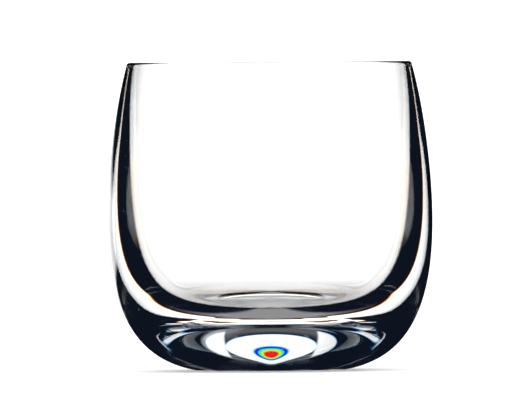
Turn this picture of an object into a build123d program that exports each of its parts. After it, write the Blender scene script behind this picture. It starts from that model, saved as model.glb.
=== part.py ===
"""Whiskey tumbler: one piece of clear glass with a barrel-shaped wall, a round drinking
space and a thick solid base. Millimetres, +Z up, origin at the centre of the resting face.

The glass is a body of revolution. Its outline is drawn once in the XZ plane as smooth cubic
curves and turned round Z. A "pull" is the length of a curve's handle along its end tangent."""
import os
from math import cos, radians, sin

from build123d import *

# Outside
height = 90.0
belly_radius = 47.5
belly_height = 44.05
belly_pull_down = 26.6
belly_pull_up = 11.7
rim_outer_radius = 41.8
rim_lean_out = 3.9
rim_pull = 14.5

# Base: the foot is flat, its middle is a shallow hollow, and the flank leaves it at a low slope
foot_radius = 22.3
foot_slope = 10.2
foot_pull = 17.7
hollow_radius = 17.0
hollow_depth = 0.93

# Drinking space
lip_thickness = 2.0
lip_lean_out = 0.8
lip_pull = 4.8
waist_radius = 41.25
waist_height = 67.6
waist_pull_up = 10.0
waist_pull_down = 22.8
floor_radius = 21.75
floor_height = 16.45
floor_pull_out = 18.35
floor_pull_in = 9.9
floor_middle_pull = 1.5
floor_middle_height = 17.15

# Derived sizes
lip_radius = lip_thickness / 2
lip_centre_height = height - lip_radius
lip_inner_radius = rim_outer_radius - lip_thickness
foot_pull_across = foot_pull * cos(radians(foot_slope))
foot_pull_up = foot_pull * sin(radians(foot_slope))


def underside():
    """Shallow hollow in the middle of the base, then the flat ring the glass stands on."""
    Bezier(
        (0, hollow_depth),
        (hollow_radius / 2, hollow_depth),
        (hollow_radius, 0),
    )
    Line((hollow_radius, 0), (foot_radius, 0))


def outside_wall():
    """Flank from the foot up to the belly, then the wall drawing in up to the lip."""
    Bezier(
        (foot_radius, 0),
        (foot_radius + foot_pull_across, foot_pull_up),
        (belly_radius, belly_height - belly_pull_down),
        (belly_radius, belly_height),
    )
    Bezier(
        (belly_radius, belly_height),
        (belly_radius, belly_height + belly_pull_up),
        (rim_outer_radius + rim_lean_out, lip_centre_height - rim_pull),
        (rim_outer_radius, lip_centre_height),
    )


def lip():
    """Fire-polished lip: half a round from the outside of the wall to its inside."""
    ThreePointArc(
        (rim_outer_radius, lip_centre_height),
        (rim_outer_radius - lip_radius, height),
        (lip_inner_radius, lip_centre_height),
    )


def drinking_space():
    """Inside of the wall down to its widest ring, the round bowl, and the nearly flat floor."""
    Bezier(
        (lip_inner_radius, lip_centre_height),
        (lip_inner_radius + lip_lean_out, lip_centre_height - lip_pull),
        (waist_radius, waist_height + waist_pull_up),
        (waist_radius, waist_height),
    )
    Bezier(
        (waist_radius, waist_height),
        (waist_radius, waist_height - waist_pull_down),
        (floor_radius + floor_pull_out, floor_height),
        (floor_radius, floor_height),
    )
    Bezier(
        (floor_radius, floor_height),
        (floor_radius - floor_pull_in, floor_height),
        (floor_middle_pull, floor_middle_height),
        (0, floor_middle_height),
    )


with BuildPart() as glass_body:
    with BuildSketch(Plane.XZ):
        with BuildLine():
            underside()
            outside_wall()
            lip()
            drinking_space()
            Line((0, floor_middle_height), (0, hollow_depth))
        make_face()
    revolve(axis=Axis.Z)

glass_body.part.label = "glass_body"

os.makedirs("parts", exist_ok=True)
export_step(glass_body.part, "parts/glass_body.step")

print("glass volume", round(glass_body.part.volume / 1000, 1), "cm3")
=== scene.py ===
# %% [markdown]
# # A whiskey tumbler in clear glass
# The real thing is one piece of glass with no seam and no joint: a thick solid base, a barrel-shaped
# wall that thins towards the lip, and a round drinking space. Clear glass has no look of its own.
# All the eye sees in it is light that was bent or turned back, so the lesson has two halves. First
# the two skins of the glass are made exact, because they are the lenses. Then a small studio is
# built round it, because the studio is what the glass shows.

# %% Start: load the frame and measure the room the glass has
import math

import bpy
import numpy as np
from mathutils import Matrix, Vector


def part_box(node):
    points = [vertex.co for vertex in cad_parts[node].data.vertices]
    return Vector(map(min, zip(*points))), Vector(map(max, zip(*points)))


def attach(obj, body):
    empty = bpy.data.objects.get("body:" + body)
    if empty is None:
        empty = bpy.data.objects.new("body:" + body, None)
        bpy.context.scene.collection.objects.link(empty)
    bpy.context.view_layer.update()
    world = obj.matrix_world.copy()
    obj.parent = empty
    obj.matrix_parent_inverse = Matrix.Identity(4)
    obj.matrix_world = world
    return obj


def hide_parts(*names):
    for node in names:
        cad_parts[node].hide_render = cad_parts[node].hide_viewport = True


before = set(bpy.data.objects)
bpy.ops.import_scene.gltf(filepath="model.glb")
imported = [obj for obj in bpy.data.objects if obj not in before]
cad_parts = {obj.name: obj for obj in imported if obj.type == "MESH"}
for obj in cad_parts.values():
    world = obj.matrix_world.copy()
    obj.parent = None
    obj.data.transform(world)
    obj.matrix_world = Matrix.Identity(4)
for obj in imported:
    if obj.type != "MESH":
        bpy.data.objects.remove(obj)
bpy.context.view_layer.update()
MM = 0.001
body_low, body_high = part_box("glass_body")
belly_radius = (body_high.x - body_low.x) / 2 / MM
height = (body_high.z - body_low.z) / MM
print("room for the glass: radius", round(belly_radius, 2), "mm, height", round(height, 2), "mm")


# %% [markdown]
# ## The outside
# A tumbler is a body of revolution, so one outline in a plane describes all of it. It could be
# modelled as a lathed curve with many points, but a row of points gives dents, and clear glass
# shows every dent as a kink in its dark lines. Hot glass settles into long even bends, so each
# stretch is one cubic Bezier curve, and neighbouring stretches share their tangent. The foot is
# pressed flat on the mould, with a shallow hollow in the middle so that the glass stands on a ring.
# A pull is how far a handle reaches from the end of its curve.

# %% Outline of the outside, in mm, from the middle of the underside up over the lip
def bezier(points, count):
    """Cubic Bezier curve through count steps of t from 0 to 1: the four handles, weighted by the
    four terms of ((1 - t) + t) cubed."""
    t = np.linspace(0.0, 1.0, count)[:, None]
    a, b, c, d = np.array(points, float)
    return a * (1 - t) ** 3 + 3 * b * t * (1 - t) ** 2 + 3 * c * t**2 * (1 - t) + d * t**3


foot_radius = 22.3
foot_pull = (17.42, 3.13)
hollow_radius = 17.0
hollow_depth = 0.93
belly_height = 44.05
belly_pull_down = 26.6
belly_pull_up = 11.7
rim_radius = 41.8
rim_pull = (3.9, -14.5)
lip_radius = 1.0
lip_centre = height - lip_radius

hollow = bezier([(0, hollow_depth), (hollow_radius / 3, hollow_depth),
                 (hollow_radius * 2 / 3, hollow_depth * 2 / 3), (hollow_radius, 0)], 24)
foot = np.stack([np.linspace(hollow_radius, foot_radius, 8), np.zeros(8)], 1)
flank = bezier([(foot_radius, 0), (foot_radius + foot_pull[0], foot_pull[1]),
                (belly_radius, belly_height - belly_pull_down), (belly_radius, belly_height)], 110)
upper_wall = bezier([(belly_radius, belly_height), (belly_radius, belly_height + belly_pull_up),
                     (rim_radius + rim_pull[0], lip_centre + rim_pull[1]), (rim_radius, lip_centre)], 50)
turn = np.linspace(0.0, math.pi, 17)[:, None]
lip = np.hstack([rim_radius - lip_radius + lip_radius * np.cos(turn),
                 lip_centre + lip_radius * np.sin(turn)])
outside = [hollow, foot, flank, upper_wall, lip]
print("outside outline:", sum(len(stretch) for stretch in outside), "points")

# %% [markdown]
# ## The drinking space
# The inside isn't a copy of the outside moved in. The wall is 2 mm at the lip and 7 mm at the
# belly, and it swells into a base some 16 mm thick, because a heavy base is what makes this a
# whiskey glass. The floor is almost flat and rises a little in the middle. That rise is the lens
# that draws the rings in the base.

# %% Outline of the drinking space, in mm, from the lip down to the middle of its floor
mouth_radius = rim_radius - 2 * lip_radius
mouth_pull = (0.8, -4.8)
waist_radius = 41.25
waist_height = 67.6
waist_pull_up = 10.0
waist_pull_down = 22.8
floor_radius = 21.75
floor_height = 16.45
floor_pull_out = 18.35
floor_pull_in = 9.9
middle_height = 17.15
middle_pull = 1.5

inner_upper = bezier([(mouth_radius, lip_centre), (mouth_radius + mouth_pull[0], lip_centre + mouth_pull[1]),
                      (waist_radius, waist_height + waist_pull_up), (waist_radius, waist_height)], 36)
bowl = bezier([(waist_radius, waist_height), (waist_radius, waist_height - waist_pull_down),
               (floor_radius + floor_pull_out, floor_height), (floor_radius, floor_height)], 120)
inner_floor = bezier([(floor_radius, floor_height), (floor_radius - floor_pull_in, floor_height),
                      (middle_pull, middle_height), (0, middle_height)], 50)
stretches = [*outside, inner_upper, bowl, inner_floor]
outline = np.vstack([stretches[0], *[stretch[1:] for stretch in stretches[1:]]])
print("whole outline:", len(outline), "points; base", round(middle_height - hollow_depth, 1), "mm thick")


# %% [markdown]
# ## Turning the outline into glass
# Blender's Screw or Spin could turn the outline. Working the surface out as an array keeps every
# point exact, and lets the glass be a little unround, as a real one is: it sags by up to two
# hundredths of a millimetre while it cools.

# %% Surface of revolution, closed by a fan of triangles at each end of the axis
def turned_glass(name, profile, around):
    """Every outline point (r, z) goes round the axis in equal steps, to (r cos a, r sin a, z).
    Away from foot and lip the radius shrinks by sag times (1 + cos(2 a + z / sag_rise))."""
    angle = np.linspace(0.0, 2 * math.pi, around, endpoint=False)
    rings = profile[1:-1]
    radii, levels = rings[:, :1], rings[:, 1:]
    middle = np.sin(np.clip(levels / height, 0, 1) * math.pi) ** 2
    radii = radii * (1 - sag * middle * (1 + np.cos(2 * angle + levels / sag_rise)))
    grid = np.stack([radii * np.cos(angle), radii * np.sin(angle), levels + 0 * angle], 2)
    under, over = [0, 0, profile[0, 1]], [0, 0, profile[-1, 1]]
    points = np.vstack([under, grid.reshape(-1, 3), over]) * MM
    start = 1 + np.arange(len(rings) - 1)[:, None] * around
    here = np.arange(around)[None, :]
    there = (here + 1) % around
    quads = np.stack([start + here, start + there, start + around + there, start + around + here], 2)
    last_ring = 1 + (len(rings) - 1) * around
    below = np.stack([0 * here[0], 1 + there[0], 1 + here[0]], 1)
    above = np.stack([last_ring + here[0], last_ring + there[0], 0 * here[0] + len(points) - 1], 1)
    mesh = bpy.data.meshes.new(name)
    faces = quads.reshape(-1, 4).tolist() + below.tolist() + above.tolist()
    mesh.from_pydata(points.tolist(), [], faces)
    mesh.validate()
    mesh.shade_smooth()
    piece = bpy.data.objects.new(name, mesh)
    bpy.context.collection.objects.link(piece)
    return piece


sag = 0.0002
sag_rise = 23.0
tumbler = turned_glass("tumbler", outline, around=224)
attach(tumbler, "root")
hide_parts("glass_body")
print("tumbler:", len(tumbler.data.polygons), "faces")


# %% [markdown]
# ## The finish: fire-polished clear glass
# The real one is soda-lime or crystal glass, pressed or blown and then fire-polished: a flame melts
# the skin until surface tension has drawn it smooth. To the eye that gives mirror-sharp reflections
# with no grain. What shows that it is real glass is smaller: a skin that waves a little, dust that
# sits on it, and a faint cool colour where the glass is thick.
# - A Glass shader could be built from Refraction and Glossy, but the single node does both with the
#   right Fresnel share. Its IOR of 1.524 is that of ordinary glass.
# - The colour of thick glass belongs in the volume, where it grows with the way through the glass.
# - The waviness is a slow noise in a Bump node, the smudges are a very small roughness, and each
#   speck of dust is a dot of a matt shader, dark on a bright ground and bright on a dark one.

# %% Helpers: a node with its settings and links, and colours from sRGB hex
def add(tree, kind, settings=None, **links):
    """Adds a node, sets its properties and its sockets' own values, and links what comes in.
    A link named i2 goes to the input socket with index 2."""
    node = tree.nodes.new(kind)
    for key, value in (settings or {}).items():
        if isinstance(key, int) or key in node.inputs:
            node.inputs[key].default_value = value
        else:
            setattr(node, key, value)
    for key, source in links.items():
        socket = node.inputs[int(key[1:])] if key[0] == "i" and key[1:].isdigit() else node.inputs[key]
        tree.links.new(source, socket)
    return node


def linear(hex_colour):
    """sRGB hex to linear RGBA: each channel is divided by 255, then the sRGB curve is undone."""
    channels = np.array([int(hex_colour[i:i + 2], 16) for i in (1, 3, 5)]) / 255
    bright = ((channels + 0.055) / 1.055) ** 2.4
    return (*np.where(channels <= 0.04045, channels / 12.92, bright), 1.0)


# %% Waviness, smudges and dust, from real sizes in millimetres
glass = bpy.data.materials.new("fire_polished_clear_glass")
glass.use_nodes = True
tree = glass.node_tree
tree.nodes.clear()
place = add(tree, "ShaderNodeTexCoord").outputs["Object"]
wave_length = 22.0
wave_depth = 0.006
smudge_size = 9.0
smudge_roughness = 0.02
dust_spacing = 3.2
dust_radius = 0.16
clean_share = 0.75

wave = add(tree, "ShaderNodeTexNoise", {"Scale": 1 / (wave_length * MM), "Detail": 1.0}, Vector=place)
wavy_skin = add(tree, "ShaderNodeBump", {"Strength": 1.0, "Distance": wave_depth * MM},
                Height=wave.outputs[0])
smudge = add(tree, "ShaderNodeTexNoise", {"Scale": 1 / (smudge_size * MM), "Detail": 3.0}, Vector=place)
smudged = add(tree, "ShaderNodeMapRange", {1: 0.55, 2: 0.8, 3: 0.0, 4: smudge_roughness},
              i0=smudge.outputs[0])

dust = add(tree, "ShaderNodeTexVoronoi", {"Scale": 1 / (dust_spacing * MM)}, Vector=place)
chance = add(tree, "ShaderNodeSeparateColor", i0=dust.outputs["Color"]).outputs[0]
reach = add(tree, "ShaderNodeMapRange", {1: clean_share, 2: 1.0, 3: 0.0, 4: dust_radius / dust_spacing},
            i0=chance)
speck = add(tree, "ShaderNodeMath", {"operation": "LESS_THAN"}, i0=dust.outputs["Distance"],
            i1=reach.outputs[0])
print("dust: specks up to", 2 * dust_radius, "mm across, in cells of", dust_spacing, "mm")

# %% The glass itself
clear = add(tree, "ShaderNodeBsdfGlass", {"Color": linear("#ffffff"), "IOR": 1.524},
            Roughness=smudged.outputs[0], Normal=wavy_skin.outputs[0])
lint = add(tree, "ShaderNodeBsdfDiffuse", {"Color": linear("#8d949c")})
skin = add(tree, "ShaderNodeMixShader", i0=speck.outputs[0], i1=clear.outputs[0], i2=lint.outputs[0])
thick = add(tree, "ShaderNodeVolumeAbsorption", {"Color": linear("#e1f1ff"), "Density": 1.0})
add(tree, "ShaderNodeOutputMaterial", Surface=skin.outputs[0], Volume=thick.outputs[0])
tumbler.data.materials.append(glass)
print("glass:", len(tree.nodes), "nodes")


# %% [markdown]
# ## The studio
# Clear glass on a white ground is lit by the bright-field method. A white ground fills the view
# through the glass, and everything else round it is dark, so that the skins, which turn the light
# away from the ground, draw themselves as dark lines. Real lamps and cards could be set up as
# planes. Here they are painted on the world instead, as boxes of bearing (0 degrees behind the glass,
# 180 at the camera) and climb above the horizon, because no plane then stands in another view.
# Light Path gives the world the count of turns that a ray has made. A ray that only went straight
# through sees the pale ground. A ray that was mirrored sees the dark studio and its softboxes.
# No real studio can split its light by path like that. It is a liberty of the renderer, taken so that
# the glass is dark at its edges and stays clear from every side.

# %% Bearing and climb of a ray, in degrees
def band(tree, value, low, high, border):
    """1 where the value lies between low and high, and a straight ramp of border degrees at each."""
    rise = add(tree, "ShaderNodeMapRange", {1: low - border / 2, 2: low + border / 2}, i0=value)
    fall = add(tree, "ShaderNodeMapRange", {1: high + border / 2, 2: high - border / 2}, i0=value)
    return add(tree, "ShaderNodeMath", {"operation": "MULTIPLY"}, i0=rise.outputs[0],
               i1=fall.outputs[0]).outputs[0]


world = bpy.data.worlds.new("studio")
bpy.context.scene.world = world
world.use_nodes = True
sky = world.node_tree
sky.nodes.clear()
aim = add(sky, "ShaderNodeSeparateXYZ", i0=add(sky, "ShaderNodeTexCoord").outputs["Generated"]).outputs
turned = add(sky, "ShaderNodeMath", {"operation": "ARCTAN2"}, i0=aim[0], i1=aim[1]).outputs[0]
raised = add(sky, "ShaderNodeMath", {"operation": "ARCSINE"}, i0=aim[2]).outputs[0]
bearing = add(sky, "ShaderNodeMath", {"operation": "DEGREES"}, i0=turned).outputs[0]
climb = add(sky, "ShaderNodeMath", {"operation": "DEGREES"}, i0=raised).outputs[0]
either_side = add(sky, "ShaderNodeMath", {"operation": "ABSOLUTE"}, i0=bearing).outputs[0]


# %% [markdown]
# ## The softboxes
# Every bright shape in the wall and base is one softbox, bent and mirrored. They could be area
# lamps, but a rectangle worked out from bearing and climb has edges that can be set to a tenth of a
# degree. Real glass bends blue more than red, and Cycles bends all colours alike. So the red, green
# and blue edges of some boxes lie a little apart, which gives amber and blue seams, and one narrow
# strip is painted as a spectrum, which gives the small rainbow patch in the base.
# Each box is (bearing from, to, climb from, to, brightness, border, red past blue), in degrees but
# for the brightness.

# %% Softboxes
def softboxes(tree, start, around, boxes):
    """Adds boxes of light to a colour. The red, green and blue of a box end one after the other."""
    for left, right, low, high, power, border, red_past in boxes:
        red, green, blue = (
            add(tree, "ShaderNodeMath", {"operation": "MULTIPLY"},
                i0=band(tree, around, left, right + past, border),
                i1=band(tree, climb, low - past, high + past, border)).outputs[0]
            for past in (red_past, 0.0, -red_past))
        shape = add(tree, "ShaderNodeCombineColor", Red=red, Green=green, Blue=blue).outputs[0]
        glow = add(tree, "ShaderNodeVectorMath", {"operation": "SCALE", "Scale": power}, i0=shape).outputs[0]
        start = add(tree, "ShaderNodeVectorMath", {"operation": "ADD"}, i0=start, i1=glow).outputs[0]
    return start


# Limits past 0 and 180 degrees, so that a box has no edge there
ALL_ROUND = 181
PAST = -5
DARK = (0.004, 0.007, 0.014)
dark = add(sky, "ShaderNodeCombineXYZ", dict(enumerate(DARK))).outputs[0]
lit = softboxes(sky, dark, either_side, [
    (PAST, 18.5, -32, -9, 1.8, 1.5, 0.5),       # low panel behind: the white crescents in the wall
    (PAST, 12, -9, 2.5, 1.3, 1.5, 0.5),         # its narrow upper part: the white line in the base
    (PAST, 28, 9.0, 13.6, 1.3, 0.4, -0.1),      # strip above it: the white lens in the base
    (15.5, 26, 13.2, 21.0, 1.2, 1.0, -0.2),     # its raised ends: the points of that lens
    (PAST, 17, 15.5, 27, 0.12, 3.0, 0.0),       # wall above the strip, dim
    (PAST, 15, -72, -38, 0.3, 6.0, 0.0),        # table behind, dim: the grey in the top of the base
    (18, 45, 50, 62, 0.8, 4.0, -0.5),           # two high boxes: the top of the ring in the base
    (128, 160, 35, 48, 1.2, 3.0, -0.5),         # window behind the camera: the ends of that ring
    (60, 80, -50, -24, 0.12, 8.0, 0.0),         # dim light from the sides
    (PAST, ALL_ROUND, -95, -78, 1.2, 5.0, 0.0),  # bright table straight below
])
lit = softboxes(sky, lit, bearing, [
    (17, 45, 30, 46, 0.8, 5.0, 0.0),            # box behind on the right: grey arc in the base
    (17, 30, 14, 26, 0.5, 4.0, 0.0),            # its lower part
])

# %% The spectrum strip, and the card that only the outer skin mirrors
behind = band(sky, either_side, PAST, 14, 2)
spectrum = add(sky, "ShaderNodeCombineColor",
               Red=band(sky, climb, 7.4, 8.2, 0.2),
               Green=band(sky, climb, 8.0, 8.5, 0.2),
               Blue=band(sky, climb, 8.35, 8.8, 0.2)).outputs[0]
spectrum = add(sky, "ShaderNodeVectorMath", {"operation": "SCALE"}, i0=spectrum, Scale=behind).outputs[0]
lit = add(sky, "ShaderNodeVectorMath", {"operation": "ADD"}, i0=lit, i1=spectrum).outputs[0]
outer_skin = softboxes(sky, dark, bearing, [
    (-33, -8, -4.5, 1.0, 2.0, 1.2, 0.0),        # tall card on the left: widens the left crescent
])

# %% [markdown]
# ## Which ray sees what
# - A camera ray that misses the glass sees the pale ground.
# - A ray that went straight through sees the ground too, and a dark card at each side, which
#   greys the glass where the wall bends away.
# - A ray mirrored by the outer skin before it ever went in sees only one tall card.
# - Every other mirrored ray sees the softboxes.

# %% Which ray sees what
PALE = (1.7, 1.7, 1.7, 1.0)
ray = add(sky, "ShaderNodeLightPath").outputs
mirrored, went_in = (
    add(sky, "ShaderNodeMath", {"operation": "GREATER_THAN", 1: 0.5}, i0=ray[count]).outputs[0]
    for count in ("Glossy Depth", "Transmission Depth"))
lights = add(sky, "ShaderNodeMix", {"data_type": "RGBA"}, i0=went_in, i6=outer_skin, i7=lit).outputs[2]
card = add(sky, "ShaderNodeMath", {"operation": "MULTIPLY"},
           i0=band(sky, either_side, 15, 58, 9), i1=band(sky, climb, -20, 12, 3)).outputs[0]
ground = add(sky, "ShaderNodeMix", {"data_type": "RGBA", 6: PALE}, i0=card, i7=dark).outputs[2]
ground = add(sky, "ShaderNodeMix", {"data_type": "RGBA", 7: PALE}, i0=ray["Is Camera Ray"],
             i6=ground).outputs[2]
shown = add(sky, "ShaderNodeMix", {"data_type": "RGBA"}, i0=mirrored, i6=ground, i7=lights).outputs[2]
add(sky, "ShaderNodeOutputWorld", i0=add(sky, "ShaderNodeBackground", i0=shown).outputs[0])
print("studio:", len(sky.nodes), "nodes")


# %% [markdown]
# ## The floor
# The glass stands on white paper. A plane is enough. It lies a hair below the foot, because two
# faces at one height flicker. Its white is for straight rays only. A mirrored ray goes through to
# the softboxes below, or the base would mirror white paper and lose its dark body.

# %% Pale paper floor
floor_half = 3.0
floor_drop = -0.0003
signs = ((-1, -1), (1, -1), (1, 1), (-1, 1))
corners = [(x * floor_half, y * floor_half, floor_drop) for x, y in signs]
floor_mesh = bpy.data.meshes.new("floor")
floor_mesh.from_pydata(corners, [], [(0, 1, 2, 3)])
floor = bpy.data.objects.new("floor", floor_mesh)
bpy.context.collection.objects.link(floor)

paper = bpy.data.materials.new("matt_white_paper")
paper.use_nodes = True
tree = paper.node_tree
tree.nodes.clear()
grain_size = 0.4
fibres = add(tree, "ShaderNodeTexNoise", {"Scale": 1 / (grain_size * MM), "Detail": 2.0},
             Vector=add(tree, "ShaderNodeTexCoord").outputs["Object"])
tone = add(tree, "ShaderNodeMix", {"data_type": "RGBA", 6: linear("#f7f7f7"), 7: linear("#ffffff")},
           i0=fibres.outputs[0])
depth = add(tree, "ShaderNodeLightPath").outputs["Glossy Depth"]
mirrored = add(tree, "ShaderNodeMath", {"operation": "GREATER_THAN", 1: 0.5}, i0=depth).outputs[0]
matt = add(tree, "ShaderNodeBsdfDiffuse", Color=tone.outputs[2])
opening = add(tree, "ShaderNodeBsdfTransparent")
sheet = add(tree, "ShaderNodeMixShader", i0=mirrored, i1=matt.outputs[0], i2=opening.outputs[0])
add(tree, "ShaderNodeOutputMaterial", Surface=sheet.outputs[0])
floor_mesh.materials.append(paper)
print("floor:", 2 * floor_half, "m wide")


# %% [markdown]
# ## The camera
# A long lens from nearly five metres away shows the glass almost without perspective, so the rim is
# a thin line and the foot a straight one. The eye is at the height of the lip. The glass stands a
# little right of the middle, which a small shift gives without turning the camera, and the camera
# is rolled by less than half a degree, as one on a real stand is.

# %% Camera
distance = 4.7
eye_height = 0.090
aim_height = 0.04695
view_width = 148.59 * MM
side_shift = -0.03189
roll = math.radians(0.41)
camera = bpy.data.cameras.new("camera")
camera.sensor_width = 36
camera.lens = camera.sensor_width * distance / view_width
camera.shift_x = side_shift
camera.clip_end = 100
viewer = bpy.data.objects.new("camera", camera)
bpy.context.collection.objects.link(viewer)
bpy.context.scene.camera = viewer
eye = Vector((0, -distance, eye_height))
look = (Vector((0, 0, aim_height)) - eye).to_track_quat("-Z", "Y").to_matrix().to_4x4()
viewer.matrix_world = Matrix.Translation(eye) @ look @ Matrix.Rotation(-roll, 4, "Z")
print("lens:", round(camera.lens), "mm")

# %% [markdown]
# ## Paths of light
# The lines in the base come from rays that were turned back up to nine times inside the glass, so
# Cycles is given enough bounces to follow them. The Standard view transform keeps white paper white.

# %% Bounces and view transform
bpy.context.scene.view_settings.view_transform = "Standard"
cycles = bpy.context.scene.cycles
cycles.max_bounces = 24
cycles.transmission_bounces = 24
cycles.glossy_bounces = 24
